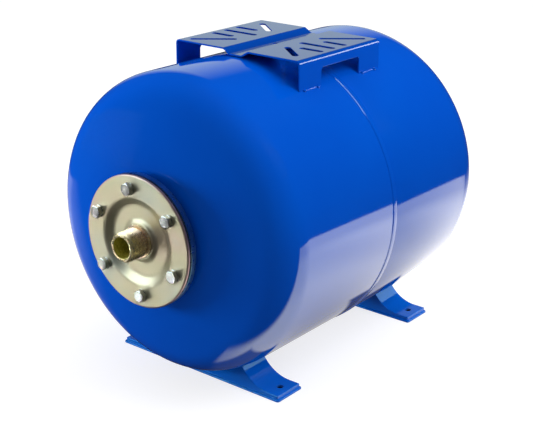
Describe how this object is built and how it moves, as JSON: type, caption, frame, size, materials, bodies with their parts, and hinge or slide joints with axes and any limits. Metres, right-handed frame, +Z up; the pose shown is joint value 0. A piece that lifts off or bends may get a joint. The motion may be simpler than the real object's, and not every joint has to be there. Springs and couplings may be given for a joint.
{
  "type": "well pressure tank",
  "caption": "Horizontal bladder pressure tank on two pressed feet, with a bolted threaded water flange, a folded pump bracket on top and a capped air valve at the rear",
  "frame": {"origin": "on the floor, in the middle of the part's bounding box; the feet stand on z = 0", "axes": "X runs across the tank, Y along its axis with the water flange at -Y and the air valve at +Y, and Z is up"},
  "size_m": [0.349, 0.509, 0.3747],
  "materials": {
    "blue_paint": "glossy enamel over drawn steel",
    "zinc_plate": "bright zinc plate on steel",
    "bolt_zinc": "white zinc plate on steel",
    "spring_steel": "plain spring wire",
    "black_rubber": "moulded, smooth",
    "valve_brass": "turned brass",
    "black_plastic": "moulded, slightly rough"
  },
  "bodies": {
    "tank": {"front_shell": "blue_paint", "rear_shell": "blue_paint", "girth_weld": "blue_paint", "neck_ring": "zinc_plate", "neck_weld": "zinc_plate", "bladder": "black_rubber", "flange_cover": "zinc_plate", "nozzle": "zinc_plate", "nozzle_weld": "zinc_plate", "flange_bolts": "bolt_zinc", "flange_lock_washers": "bolt_zinc", "pump_bracket": "blue_paint", "bracket_welds": "blue_paint", "front_foot": "blue_paint", "rear_foot": "blue_paint", "foot_welds": "blue_paint", "valve_boss": "blue_paint", "boss_weld": "blue_paint", "valve_gasket": "black_rubber", "valve_body": "valve_brass", "valve_core": "valve_brass", "valve_spring": "spring_steel"},
    "pin": {"valve_pin": "valve_brass", "pin_seal": "black_rubber"},
    "cap": {"valve_cap": "black_plastic", "cap_seal": "black_rubber"}
  },
  "joints": [
    {"name": "cap_off", "type": "slide", "parent": "tank", "child": "cap", "axis": [0, 1, 0], "range_m": [0, 0.014]},
    {"name": "pin_press", "type": "slide", "parent": "tank", "child": "pin", "axis": [0, -1, 0], "range_m": [0, 0.0012], "stiffness_N_per_m": 900, "springref_m": -0.003, "deforming": ["valve_spring"]}
  ]
}
